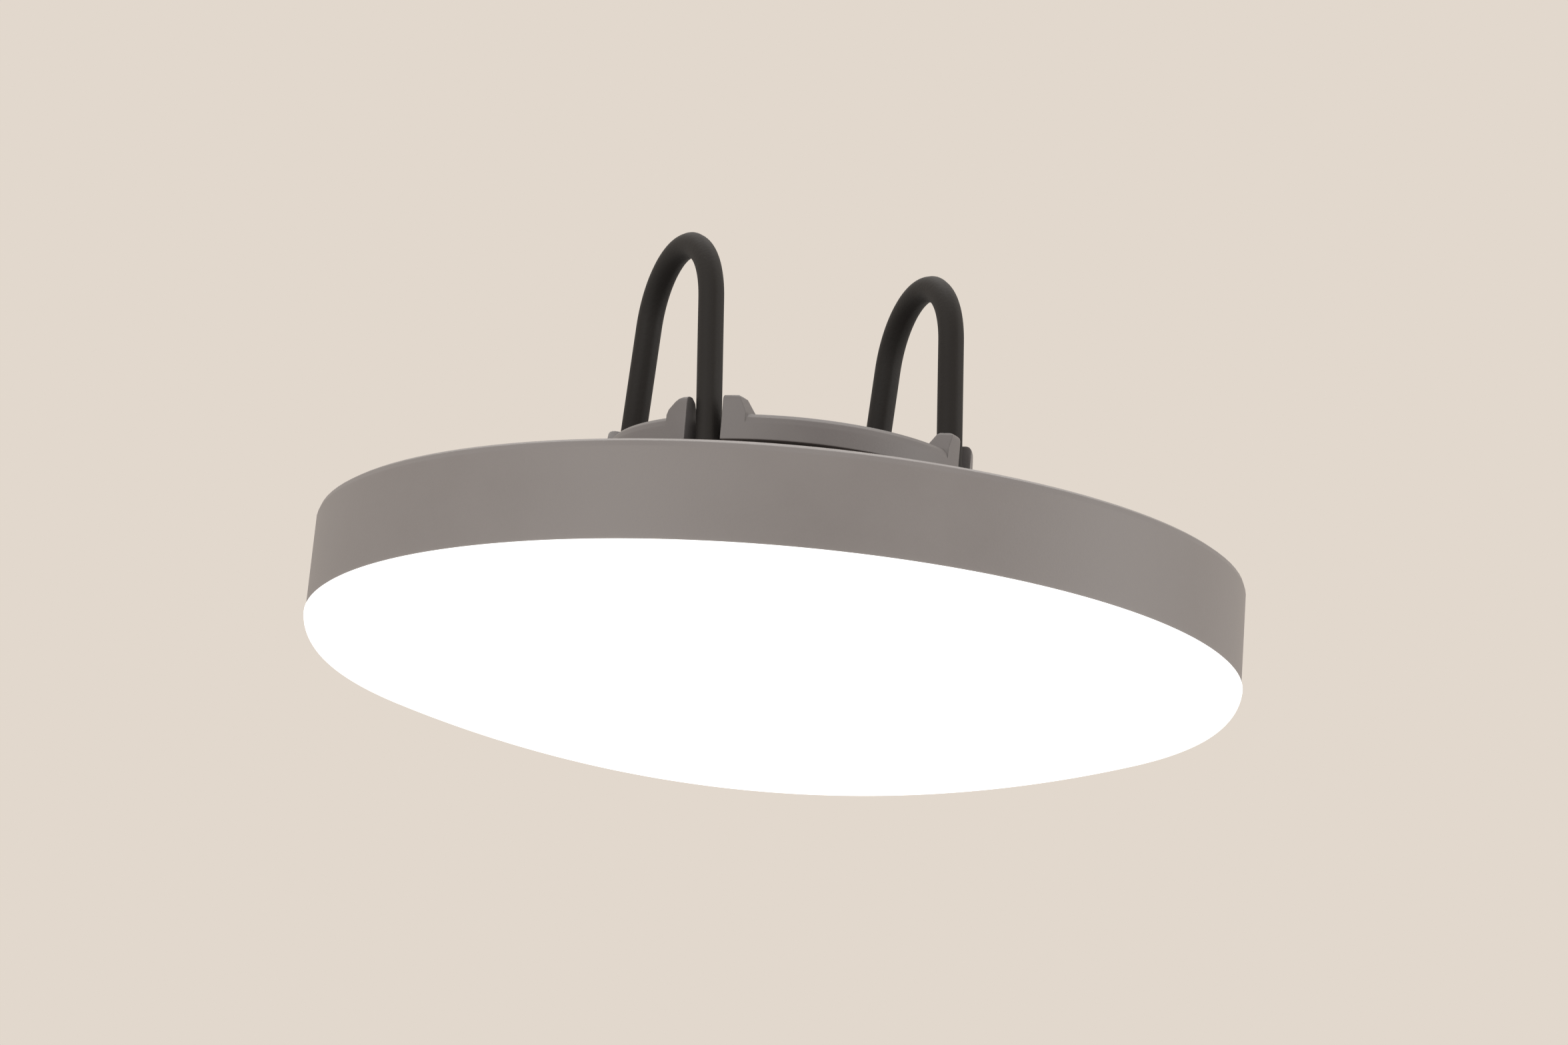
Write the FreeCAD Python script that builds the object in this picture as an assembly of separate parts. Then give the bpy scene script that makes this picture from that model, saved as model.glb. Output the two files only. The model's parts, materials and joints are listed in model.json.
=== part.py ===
import FreeCAD
import Part
import math
import os

# A round rechargeable lamp that hangs under one strut of a patio umbrella.
# A saddle on its back lies against the flat underside of the strut, and one closed
# elastic ring runs round the saddle's neck, up through four slots and over the strut.
# Millimetres. The origin is the centre of the saddle's seat, +Z points up into the
# strut, X runs along the strut, and the lamp's light leaves downwards.

V = FreeCAD.Vector
UP = V(0, 0, 1)
ALONG = V(1, 0, 0)
EPS = 0.01                      # how far a cutting body runs past a face

# ---- driving dimensions ----------------------------------------------------------------

# Housing
lamp_radius = 52.0              # outer edge of the diffuser
edge_reveal = 0.15              # diffuser stands proud of the band by this much
band_height = 11.3
band_draft = 1.75               # degrees
wall = 1.8
platform_radius = 21.6
platform_step = 1.5             # platform down to the flat back
crown_width = 8.0               # band's top inwards to the flat back
crown_drop = 2.0                # flat back down to the top of the band
band_edge_round = 1.0
crown_round = 10.0
round_steps = 2                 # flats per rounded corner of the shell

# Diffuser
dome_depth = 12.4
dome_edge_round = 3.2
bore_rise = 0.6                 # straight bore above the skirt
lens_wall = 1.8
crown_steps = 6                 # flats of the outer crown, the inner crown and the soft edge
inner_steps = 2
edge_steps = 3
skirt_height = 4.6
skirt_wall = 1.7
skirt_gap = 0.15                # radial play of the skirt in the shell
bead_size = 0.5                 # snap bead round the skirt
bead_play = 0.1
gasket_section = 1.1
gasket_rise = 0.7               # diffuser's flat edge up to the gasket

# Strut saddle
saddle_radius = 20.3
rim_thickness = 3.1
rim_round = 1.2
rim_steps = 3
base_thickness = 1.1
slot_angle = 39.0               # degrees from the strut's direction
slot_clear = 0.1                # cord to the slot's sides and root where it comes nearest
slot_round = 0.8
lug_height = 2.0
lug_width = 1.8
lug_slope = 0.9
lug_depth = 2.6                 # from the rim inwards
lug_round = 0.6
trough_half_width = 8.2         # clear half width for the strut between the lugs

# Elastic ring
cord_radius = 1.5
cord_sides = 12                 # flats of the cord's section
cord_gap = 0.05                 # cord to the neck's floor
neck_play = 0.15                # above and below the ring in the neck
strand_inset = 1.7              # rim's edge in to the strands in the slots
over_radius = 9.0               # centre line of the ring over the strut
over_height = 21.5              # top of that centre line above the seat
bend_reach = 1.85               # tangent length of the bend under the rim

# Saddle fixing
saddle_screw_circle = 11.0
saddle_screw_count = 4
saddle_screw_radius = 1.25
seal_circle = 15.0
seal_section = 1.0
seal_room = 0.6                 # groove wider than the seal

# Light engine
board_gap = 7.4                 # ceiling of the flat back down to the LED board
board_clear = 3.8               # board to the skirt's bore
board_thickness = 1.0
chip_size = (3.0, 3.0, 0.7)
chip_ring_radii = (14.0, 28.0)
chip_ring_counts = (8, 16)
reflector_wall = 0.8
reflector_run = 4.5             # cone's width, measured along the radius
reflector_clear = 0.3           # cone's lip to the skirt's bore
post_inset = 4.5                # board's edge to the middle of a post
post_count = 3
post_first_angle = 30.0         # degrees
post_radius = 3.2
post_screw_radius = 1.25
post_screw_length = 6.0
post_rib = 1.2
post_rib_rise = 1.0             # ribs end above the board

# Battery
battery_size = (50.0, 40.0, 6.0)
battery_round = 2.0
battery_pad_thickness = 1.0
battery_pad_inset = 1.0
battery_rib = 1.0
battery_rib_gap = 0.3
battery_rib_depth = 3.0
battery_rib_length = 7.0

# Control board
control_x = (-27.0, 25.0)
control_gap = 4.0               # battery's edge to the board
controls_inset = 8.5            # board's near edge to the row of port and button
control_beyond = 9.5            # that row to the board's far edge
control_clear = 3.5             # board to the shell's bore
control_thickness = 1.0
control_height = 5.4            # ceiling of the flat back down to the control board
control_post_inset = 3.5
control_post_radius = 2.3
control_screw_radius = 0.95
control_screw_length = 4.5
control_head_height = 0.8
wire_radius = 0.6
wire_pitch = 1.8
connector_size = (6.0, 4.0, 3.0)
connector_inset = 0.5           # board's near edge to the connectors
link_x = 17.0                   # header that joins the two boards
link_size = (5.0, 2.5)
coil_radius = 2.4
coil_height = 2.6
coil_x = 6.0
controller_size = (5.0, 5.0, 0.9)
controller_x = -1.6
chips_row = 6.9                 # coil and controller beyond the row of port and button
indicator_size = (1.6, 1.0, 0.7)
small_part_size = (1.6, 0.9, 0.6)
small_part_count = 4
small_part_pitch = 2.6
small_part_x = -15.0
small_part_row = 3.0            # beyond the board's near edge

# Charging port and its cover
port_x = -11.0
port_length = 8.9
port_width = 3.2
port_wall = 0.35
port_base = 0.8
port_tongue = (6.6, 0.7)
tongue_sunk = 0.6               # tongue's end below the socket's mouth
port_play = 0.35                # round the socket in the floor of the pocket
cover_length = 14.0
cover_thickness = 1.1
cover_reach = 4.0               # middle of the port to the cover's free end
cover_play = 0.4
cover_float = 0.3               # cover to the floor of its pocket
cover_sunk = 0.1                # cover below the flat back
cover_corner = 1.6
hinge_reach = 4.5               # middle of the port to the hinge pin
hinge_radius = 1.0
hinge_pin_radius = 0.5
hinge_play = 0.05
hinge_room = 0.3                # under and beside the hinge barrel
hinge_clear = 1.7               # pin to the end of the pocket
pin_seat = 1.6                  # how far the pin runs into the shell at each end
plug_depth = 1.0
plug_inset = 0.3
pocket_floor = 1.8
nail_radius = 2.6

# Power button
button_x = 12.0
button_radius = 4.4
button_play = 0.3
button_proud = 0.7
button_flange = 1.1
button_flange_thickness = 0.9
button_flange_gap = 0.3
button_dish = 0.3
button_rim = 0.9                # rim round the dished top
button_travel = 0.4
stem_radius = 1.6
switch_size = 6.0
switch_height = 2.1
plunger_radius = 1.5
plunger_play = 0.05
plunger_sunk = 0.9

# Indicator
indicator_x = 1.6
indicator_radius = 1.0
indicator_flange = 0.6
indicator_play = 0.02
indicator_flange_thickness = 0.8
indicator_gap = 0.3             # indicator LED to the pipe's end

# Screw heads
head_ratio = 1.9                # head radius over shank radius
head_height = 1.5
screw_gap = 0.5                 # screw's tip to the bottom of its hole
screw_play = 0.02               # shank in the hole it is driven into
through_play = 0.15             # shank in a hole it passes through

# ---- derived heights and radii ---------------------------------------------------------

saddle_height = rim_thickness + base_thickness + 2 * (cord_radius + neck_play)
platform_z = -saddle_height     # raised platform on the back
back_z = platform_z - platform_step
band_top_z = back_z - crown_drop
edge_z = band_top_z - band_height
ceiling_z = back_z - wall
platform_ceiling_z = platform_z - wall

band_radius = lamp_radius - edge_reveal
band_top_radius = band_radius - band_height * math.tan(math.radians(band_draft))
back_radius = band_top_radius - crown_width
shell_bore = band_radius - wall
skirt_radius = shell_bore - skirt_gap
skirt_bore = skirt_radius - skirt_wall
bead_z = edge_z + skirt_height - 2 * bead_size
board_radius = skirt_bore - board_clear
post_circle = board_radius - post_inset
lip_radius = skirt_bore - reflector_clear
reflector_top_radius = lip_radius - reflector_run

board_z = ceiling_z - board_gap                     # top face of the LED board
board_under_z = board_z - board_thickness
flange_under_z = board_under_z - reflector_wall
control_radius = shell_bore - control_clear
control_low_y = battery_size[1] / 2 + control_gap
controls_y = control_low_y + controls_inset         # the row of port, indicator and button
control_post_x = (control_x[0] + control_post_inset, control_x[1] - control_post_inset)
connector_y = control_low_y + connector_inset + connector_size[1] / 2
battery_under_z = board_z + battery_pad_thickness
battery_top_z = battery_under_z + battery_size[2]
control_z = ceiling_z - control_height              # top face of the control board
control_under_z = control_z - control_thickness

cover_top_z = back_z - cover_sunk
cover_under_z = cover_top_z - cover_thickness
pocket_z = cover_under_z - cover_float
pocket_under_z = pocket_z - pocket_floor
hinge_y = controls_y + hinge_reach
hinge_z = cover_top_z - hinge_radius
plug_end_z = cover_under_z - plug_depth
port_top_z = plug_end_z - cover_float

button_top_z = back_z + button_proud
flange_top_z = ceiling_z - button_flange_gap
stem_top_z = flange_top_z - button_flange_thickness
switch_top_z = control_z + switch_height
plunger_top_z = switch_top_z + 2 * button_travel


# ---- small shared tools ----------------------------------------------------------------

def turned(points, angle=360.0):
    """Solid made by turning a closed outline of (radius, height) points about Z."""
    corners = [V(radius, 0, height) for radius, height in points]
    face = Part.Face(Part.makePolygon(corners + corners[:1]))
    return face.revolve(V(0, 0, 0), UP, angle)


def tube(outer, inner, low, high):
    """Ring with a rectangular section about Z."""
    return turned([(inner, low), (outer, low), (outer, high), (inner, high)])


def arc_points(radius, height, size, first, last, steps):
    """Points (radius, height) on an arc about a point, between two angles in radians."""
    points = []
    for step in range(steps + 1):
        angle = first + (last - first) * step / steps
        points.append((radius + size * math.cos(angle), height + size * math.sin(angle)))
    return points


def round_corner(points, index, radius, steps):
    """Outline with one corner replaced by flats along the arc that touches both its sides."""
    corner = V(*points[index], 0)
    back = (V(*points[index - 1], 0) - corner).normalize()
    ahead = (V(*points[index + 1], 0) - corner).normalize()
    half = back.getAngle(ahead) / 2
    centre = corner + (back + ahead).normalize() * (radius / math.sin(half))
    start = corner + back * (radius / math.tan(half)) - centre
    turn = math.degrees(math.pi - 2 * half) * (1 if back.cross(ahead).z < 0 else -1)
    flats = []
    for step in range(steps + 1):
        spoke = FreeCAD.Rotation(V(0, 0, 1), turn * step / steps).multVec(start)
        flats.append((centre.x + spoke.x, centre.y + spoke.y))
    return points[:index] + flats + points[index + 1:]


def post(x, y, radius, low, high):
    """Upright round bar."""
    return Part.makeCylinder(radius, high - low, V(x, y, low))


def block(x_range, y_range, low, high):
    """Upright box from its limits."""
    size = (x_range[1] - x_range[0], y_range[1] - y_range[0], high - low)
    return Part.makeBox(*size, V(x_range[0], y_range[0], low))


def centred_block(x, y, length, width, low, high):
    """Upright box about a point."""
    x_range = (x - length / 2, x + length / 2)
    y_range = (y - width / 2, y + width / 2)
    return block(x_range, y_range, low, high)


def upright_edges(shape):
    """Straight edges that run along Z."""
    edges = []
    for edge in shape.Edges:
        ends = [vertex.Point for vertex in edge.Vertexes]
        if len(ends) == 2 and abs(abs(ends[0].z - ends[1].z) - edge.Length) < 1e-6:
            edges.append(edge)
    return edges


def rounded_block(x, y, length, width, corner, low, high):
    """Upright box with rounded vertical edges."""
    box = centred_block(x, y, length, width, low, high)
    return box.makeFillet(corner, upright_edges(box))


def oval(x, y, length, width, low, high):
    """Upright bar with a stadium section along X."""
    straight = length - width
    body = centred_block(x, y, straight, width, low, high)
    ends = [post(x + side * straight / 2, y, width / 2, low, high) for side in (-1, 1)]
    return body.multiFuse(ends).removeSplitter()


def turn_about_z(shape, angle):
    """Copy of a shape turned about Z by an angle in degrees."""
    copy = shape.copy()
    copy.rotate(V(0, 0, 0), UP, angle)
    return copy


def on_circle(radius, count, first=0.0):
    """Evenly spaced (x, y) points on a circle, from an angle in degrees."""
    points = []
    for index in range(count):
        angle = math.radians(first + 360.0 * index / count)
        points.append((radius * math.cos(angle), radius * math.sin(angle)))
    return points


def joined(shapes):
    """One shape from several solids that touch or overlap."""
    return shapes[0].multiFuse(shapes[1:]).removeSplitter()


def group(shapes):
    """Separate solids that share one node."""
    return Part.makeCompound(shapes)


def screw(x, y, radius, hole_top, head_low, height):
    """Screw whose head hangs below and whose shank points up into a blind hole."""
    head = head_ratio * radius
    neck = head_low + height
    tip = hole_top - screw_gap
    solid = turned([(0, head_low), (head, head_low), (head, neck), (radius, neck), (radius, tip), (0, tip)])
    solid.translate(V(x, y, 0))
    return solid


def cord_section(centre, heading):
    """Outline of the ring's section, square to its heading."""
    side = heading.cross(ALONG if abs(heading.x) < 0.9 else UP).normalize()
    corners = []
    for index in range(cord_sides):
        spoke = FreeCAD.Rotation(heading, 360.0 * index / cord_sides).multVec(side)
        corners.append(centre + spoke * cord_radius)
    return Part.makePolygon(corners + corners[:1])


def closed_solid(skins):
    """Solid bounded by open skins that meet edge to edge."""
    shell = Part.Shell([face for skin in skins for face in skin.Faces])
    shell.sewShape()
    solid = Part.Solid(shell)
    if solid.Volume < 0:
        solid.reverse()
    return solid.removeSplitter()


def post_points():
    """Middles of the posts that carry the LED board."""
    return on_circle(post_circle, post_count, post_first_angle)


def saddle_screw_points():
    """Middles of the screws that hold the saddle."""
    return on_circle(saddle_screw_circle, saddle_screw_count, 180.0 / saddle_screw_count)


# ---- the housing -----------------------------------------------------------------------

def shell_profile(inset):
    """Outline of the back shell, set in from its outer face by a wall."""
    top = platform_z - inset
    flat = back_z - inset
    corner = inset * math.tan(math.radians(22.5))
    return [
        (0, top),
        (platform_radius - corner, top),
        (platform_radius + platform_step - corner, flat),
        (back_radius - inset / 8, flat),
        (band_top_radius - inset, band_top_z - inset),
        (band_radius - inset, edge_z),
        (0, edge_z),
    ]


def shell_outside():
    """Solid bounded by the outer face of the back shell."""
    outline = round_corner(shell_profile(0.0), 4, band_edge_round, round_steps)
    return turned(round_corner(outline, 3, crown_round, round_steps))


def led_posts():
    """Posts that carry the LED board, each with a rib out to the band."""
    solids = []
    rib = block((post_circle, band_radius), (-post_rib / 2, post_rib / 2), board_z + post_rib_rise, back_z)
    for index, (x, y) in enumerate(post_points()):
        solids.append(post(x, y, post_radius, board_z, back_z))
        solids.append(turn_about_z(rib, post_first_angle + 360.0 * index / post_count))
    return solids


def battery_ribs():
    """Short ribs under the ceiling that keep the battery in place."""
    low = battery_top_z - battery_rib_depth
    half_x = battery_size[0] / 2 + battery_rib_gap
    half_y = battery_size[1] / 2 + battery_rib_gap
    solids = []
    for side in (-1, 1):
        x = side * (half_x + battery_rib / 2)
        solids.append(centred_block(x, 0, battery_rib, 2 * battery_rib_length, low, platform_z))
        for half in (-1, 1):
            y = side * (half_y + battery_rib / 2)
            centre = half * (battery_rib_length + connector_size[0] / 2)
            solids.append(centred_block(centre, y, battery_rib_length, battery_rib, low, platform_z))
    return solids


def control_posts():
    """Posts that carry the control board."""
    return [post(x, controls_y, control_post_radius, control_z, back_z) for x in control_post_x]


def pocket_outline(grow, low, high):
    """Pocket of the port cover, or the block that thickens the wall round it."""
    y_low = controls_y - cover_reach - cover_play
    y_high = hinge_y + hinge_clear
    length = cover_length + 2 * (cover_play + grow)
    width = y_high - y_low + 2 * grow
    return rounded_block(port_x, (y_low + y_high) / 2, length, width, cover_corner, low, high)


def port_cuts():
    """Everything taken out of the shell for the port, its cover and its hinge."""
    pocket = pocket_outline(0.0, pocket_z, platform_z)
    half = cover_length / 2 + cover_play
    reach = hinge_radius + hinge_room
    trough = block((port_x - half, port_x + half), (hinge_y - reach, hinge_y + hinge_clear),
                   hinge_z - reach, platform_z)
    mouth = oval(port_x, controls_y, port_length + 2 * port_play, port_width + 2 * port_play,
                 pocket_under_z - EPS, pocket_z + EPS)
    pin_half = half + pin_seat
    pin_hole = Part.makeCylinder(hinge_pin_radius + screw_play, 2 * pin_half,
                                 V(port_x - pin_half, hinge_y, hinge_z), ALONG)
    nail_y = controls_y - cover_reach - cover_play
    nail = Part.makeSphere(nail_radius, V(port_x, nail_y, back_z + nail_radius / 2))
    return [pocket, trough, mouth, pin_hole, nail]


def back_shell():
    outside = shell_outside()
    inside = turned(shell_profile(wall))
    # the lower bore is straight, so that the diffuser's skirt seats in it
    bore = post(0, 0, shell_bore, edge_z - EPS, edge_z + skirt_height + bore_rise)
    shell = outside.cut(inside).cut(bore)

    inner = led_posts() + battery_ribs() + control_posts()
    inner.append(pocket_outline(wall, pocket_under_z, back_z))
    collar_bore = button_radius + button_flange + button_play
    collar = post(button_x, controls_y, collar_bore + wall / 2, stem_top_z, back_z)
    inner.append(collar.cut(post(button_x, controls_y, collar_bore, stem_top_z - EPS, ceiling_z)))
    core = turned(shell_profile(wall / 2))      # inner features end inside the wall
    shell = shell.multiFuse([solid.common(core) for solid in inner])

    cuts = port_cuts()
    holes = ((button_x, button_radius + button_play), (indicator_x, indicator_radius + indicator_play))
    for x, radius in holes:
        cuts.append(post(x, controls_y, radius, ceiling_z - EPS, back_z + EPS))
    for x, y in saddle_screw_points():
        cuts.append(post(x, y, saddle_screw_radius + through_play,
                         platform_ceiling_z - EPS, platform_z + EPS))
    for x, y in post_points():
        cuts.append(post(x, y, post_screw_radius + screw_play, board_z - EPS, board_z + post_screw_length))
    for x in control_post_x:
        cuts.append(post(x, controls_y, control_screw_radius + screw_play, control_z - EPS,
                         control_z + control_screw_length))
    groove_low = bead_z - bead_size - bead_play
    groove_high = bead_z + bead_size + bead_play
    cuts.append(tube(shell_bore + bead_size, shell_bore - EPS, groove_low, groove_high))
    return shell.cut(cuts).removeSplitter()


def diffuser():
    """Opal dome with a soft edge and a skirt with a gasket groove and a snap bead."""
    flat = lamp_radius - dome_edge_round
    crown = (flat ** 2 + dome_depth ** 2 - dome_edge_round ** 2) / (2 * (dome_depth - dome_edge_round))
    centre_z = edge_z - dome_depth + crown
    down = -math.pi / 2
    lean = math.asin(flat / (crown - dome_edge_round))
    inner_lean = math.asin(skirt_bore / (crown - lens_wall))
    outline = arc_points(0, centre_z, crown, down, down + lean, crown_steps)
    outline += arc_points(flat, edge_z, dome_edge_round, down + lean, 0, edge_steps)[1:]
    groove_low = edge_z + gasket_rise
    groove_high = groove_low + gasket_section + bead_play
    groove_radius = shell_bore - gasket_section - bead_play
    outline += [
        (skirt_radius, edge_z), (skirt_radius, groove_low),
        (groove_radius, groove_low), (groove_radius, groove_high),
        (skirt_radius, groove_high), (skirt_radius, bead_z - bead_size),
        (shell_bore + bead_size - bead_play, bead_z), (skirt_radius, bead_z + bead_size),
        (skirt_radius, edge_z + skirt_height), (skirt_bore, edge_z + skirt_height),
    ]
    outline += arc_points(0, centre_z, crown - lens_wall, down + inner_lean, down, inner_steps)
    return turned(outline)


def diffuser_gasket():
    """Square-section ring in the skirt's groove, against the shell's bore."""
    low = edge_z + gasket_rise
    outer = shell_bore - screw_play
    return tube(outer, outer - gasket_section, low, low + gasket_section)


# ---- the strut saddle and its elastic ring -----------------------------------------------

slot_angles = (slot_angle, 180 - slot_angle, 180 + slot_angle, -slot_angle)
strand_radius = saddle_radius - strand_inset
neck_z = -(rim_thickness + neck_play + cord_radius)
strand_x = strand_radius * math.cos(math.radians(slot_angle))
strand_y = strand_radius * math.sin(math.radians(slot_angle))
over_z = over_height - over_radius


def strand_lean():
    """Angle from upright at which a strand leans in to touch the bend over the strut."""
    rise = over_z + rim_thickness
    distance = math.hypot(strand_y, rise)
    return math.atan2(strand_y, rise) - math.asin(over_radius / distance)


# the strands lean across the slots, so these are wider and deeper by the lean over their height
slot_drift = (rim_thickness + lug_height) * math.tan(strand_lean())
slot_width = 2 * (cord_radius + slot_clear + slot_drift * math.cos(math.radians(slot_angle)))
slot_depth = strand_inset + cord_radius + slot_clear + slot_drift * math.sin(math.radians(slot_angle))


def neck_route():
    """Radius of the ring round the neck, and the angle at which its bend begins."""
    corner_y = strand_y + (-rim_thickness - neck_z) * math.tan(strand_lean())
    corner = math.hypot(strand_x, corner_y)
    radius = math.sqrt(corner ** 2 - bend_reach ** 2)
    return radius, math.atan2(corner_y, strand_x) + math.asin(bend_reach / corner)


def strap_ring():
    """One closed ring: round both sides of the neck, up the slots and over the strut."""
    lean = strand_lean()
    radius, begin = neck_route()
    neck_end = V(radius * math.cos(begin), radius * math.sin(begin), neck_z)
    heading = V(math.sin(begin), -math.cos(begin), 0)
    rising = V(0, -math.sin(lean), math.cos(lean))
    turn = heading.getAngle(rising)
    bend_radius = bend_reach / math.tan(turn / 2)
    bend_axis = heading.cross(rising).normalize()
    bend_centre = neck_end + bend_axis.cross(heading) * bend_radius
    strand_start = neck_end + (heading + rising) * bend_reach
    over_start = V(strand_x, over_radius * math.cos(lean), over_z + over_radius * math.sin(lean))
    print("ring: neck radius %.2f, bend radius %.2f, lean %.1f degrees"
          % (radius, bend_radius, math.degrees(lean)))

    # a quarter of the ring's skin, from the middle of the neck's side to the top of the strut;
    # the section turns with the route, so each stretch starts from the end of the last
    section = cord_section(neck_end, heading)
    neck = section.revolve(V(0, 0, neck_z), UP, 90.0 - math.degrees(begin))
    bend = section.revolve(bend_centre, bend_axis, math.degrees(turn))
    section.rotate(bend_centre, bend_axis, math.degrees(turn))
    strand = section.extrude(over_start - strand_start)
    section.translate(over_start - strand_start)
    over = section.revolve(V(strand_x, 0, over_z), ALONG, 90.0 - math.degrees(lean))
    skins = []
    for skin in (neck, bend, strand, over):
        mirrored = skin.mirror(V(0, 0, 0), ALONG)
        skins += [skin, mirrored, turn_about_z(skin, 180), turn_about_z(mirrored, 180)]
    return closed_solid(skins)


def saddle_lugs():
    """Two rounded lugs at each slot, with sloped sides and a trough left for the strut."""
    inner = saddle_radius - lug_depth
    crest = arc_points(saddle_radius - lug_round, lug_height - lug_round, lug_round,
                       0, math.pi / 2, rim_steps)
    band = turned([(inner, -rim_round), (saddle_radius, -rim_round), *crest,
                   (inner + lug_slope, lug_height), (inner, 0)])
    half = slot_width / 2 + lug_width
    root = half + lug_slope
    corners = [V(0, root, -rim_round), V(0, root, 0), V(0, half, lug_height),
               V(0, -half, lug_height), V(0, -root, 0), V(0, -root, -rim_round)]
    section = Part.Face(Part.makePolygon(corners + corners[:1]))
    ridge = section.extrude(V(saddle_radius + 1, 0, 0))
    crests = [edge for edge in ridge.Edges
              if edge.Length > saddle_radius and abs(edge.BoundBox.ZMin - lug_height) < 1e-6]
    ridge = ridge.makeChamfer(lug_round / 2, crests)
    trough = [V(-saddle_radius, side * (trough_half_width + rise), rise)
              for side, rise in ((-1, 0), (1, 0), (1, 2 * lug_height), (-1, 2 * lug_height))]
    trough = Part.Face(Part.makePolygon(trough + trough[:1])).extrude(V(2 * saddle_radius, 0, 0))
    return [turn_about_z(ridge, angle).common(band).cut(trough) for angle in slot_angles]


def saddle_mount():
    """Round saddle with a neck for the ring, four radial slots and a flat seat."""
    neck_floor = neck_route()[0] - cord_radius - cord_gap
    neck_low = platform_z + base_thickness
    rim = arc_points(saddle_radius - rim_round, -rim_round, rim_round, 0, math.pi / 2, rim_steps)
    body = turned([
        (0, platform_z), (saddle_radius, platform_z), (saddle_radius, neck_low), (neck_floor, neck_low),
        (neck_floor, -rim_thickness), (saddle_radius, -rim_thickness), *rim, (0, 0),
    ])
    body = body.multiFuse(saddle_lugs())
    root = saddle_radius - slot_depth
    reach = 2 * slot_depth
    slot = rounded_block(root + reach / 2, 0, reach, slot_width, slot_round, neck_low, 2 * lug_height)
    cuts = [turn_about_z(slot, angle) for angle in slot_angles]
    for x, y in saddle_screw_points():
        cuts.append(post(x, y, saddle_screw_radius + screw_play, platform_z - EPS, -rim_thickness / 2))
    groove = (seal_section + seal_room) / 2
    cuts.append(tube(seal_circle + groove, seal_circle - groove,
                     platform_z - EPS, platform_z + seal_section))
    return body.cut(cuts).removeSplitter()


def saddle_seal():
    """Square-section ring in the groove under the saddle."""
    half = seal_section / 2 - screw_play
    return tube(seal_circle + half, seal_circle - half, platform_z, platform_z + 2 * half)


def saddle_screws():
    low = platform_ceiling_z - head_height
    return group([screw(x, y, saddle_screw_radius, -rim_thickness / 2, low, head_height)
                  for x, y in saddle_screw_points()])


# ---- the light engine ------------------------------------------------------------------

def led_board():
    board = post(0, 0, board_radius, board_under_z, board_z)
    holes = [post(x, y, post_screw_radius + through_play, board_under_z - EPS, board_z + EPS)
             for x, y in post_points()]
    return board.cut(holes)


def led_chips():
    length, width, height = chip_size
    chips = []
    for radius, count in zip(chip_ring_radii, chip_ring_counts):
        chip = centred_block(radius, 0, length, width, board_under_z - height, board_under_z)
        chips += [turn_about_z(chip, 360.0 * index / count) for index in range(count)]
    return group(chips)


def reflector_ring():
    """White cone round the board, clamped under the board's screws."""
    flange_radius = post_circle - head_ratio * post_screw_radius - through_play
    ring = turned([
        (flange_radius, board_under_z),
        (flange_radius, flange_under_z),
        (reflector_top_radius - reflector_wall, flange_under_z),
        (lip_radius - reflector_wall, edge_z + reflector_clear),
        (lip_radius, edge_z + reflector_clear),
        (reflector_top_radius, board_under_z),
    ])
    holes = [post(x, y, post_screw_radius + through_play, flange_under_z - EPS, board_under_z + EPS)
             for x, y in post_points()]
    return ring.cut(holes)


def board_screws():
    low = flange_under_z - head_height
    return group([screw(x, y, post_screw_radius, board_z + post_screw_length, low, head_height)
                  for x, y in post_points()])


# ---- battery and electronics -----------------------------------------------------------

def battery_cell():
    length, width, _ = battery_size
    return rounded_block(0, 0, length, width, battery_round, battery_under_z, battery_top_z)


def battery_pad():
    inset = 2 * battery_pad_inset
    return rounded_block(0, 0, battery_size[0] - inset, battery_size[1] - inset, battery_round,
                         board_z, battery_under_z)


def control_board():
    y_range = (control_low_y, controls_y + control_beyond)
    board = block(control_x, y_range, control_under_z, control_z)
    board = board.common(post(0, 0, control_radius, control_under_z, control_z))
    holes = [post(x, controls_y, control_screw_radius + through_play, control_under_z - EPS, control_z + EPS)
             for x in control_post_x]
    return board.cut(holes)


def control_screws():
    low = control_under_z - control_head_height
    hole_top = control_z + control_screw_length
    return group([screw(x, controls_y, control_screw_radius, hole_top, low, control_head_height)
                  for x in control_post_x])


def on_board(x, y, size):
    """Small block that stands on the control board."""
    return centred_block(x, y, size[0], size[1], control_z, control_z + size[2])


def control_parts():
    """The battery's connector, a coil, a controller chip, the indicator LED and small parts."""
    row_y = controls_y + chips_row
    parts = [
        on_board(0, connector_y, connector_size),
        post(coil_x, row_y, coil_radius, control_z, control_z + coil_height),
        on_board(controller_x, row_y, controller_size),
        on_board(indicator_x, controls_y, indicator_size),
    ]
    for index in range(small_part_count):
        parts.append(on_board(small_part_x + small_part_pitch * index, control_low_y + small_part_row,
                              small_part_size))
    return group(parts)


def battery_lead():
    """Two short wires from the battery's end straight into their connector."""
    start_y = battery_size[1] / 2
    length = connector_y - connector_size[1] / 2 - start_y
    height = control_z + connector_size[2] / 2
    starts = [V(side * wire_pitch / 2, start_y, height) for side in (-1, 1)]
    return group([Part.makeCylinder(wire_radius, length, start, V(0, 1, 0)) for start in starts])


def board_link():
    """Header that carries the current from the control board to the LED board below it."""
    return centred_block(link_x, connector_y, *link_size, board_z, control_under_z)


def usb_socket():
    """Upright charging socket: a stadium shell, a floor and the contact tongue."""
    shell = oval(port_x, controls_y, port_length, port_width, control_z, port_top_z)
    bore = oval(port_x, controls_y, port_length - 2 * port_wall, port_width - 2 * port_wall,
                control_z + port_base, port_top_z + EPS)
    tongue = centred_block(port_x, controls_y, *port_tongue, control_z, port_top_z - tongue_sunk)
    return shell.cut(bore).fuse(tongue).removeSplitter()


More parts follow.
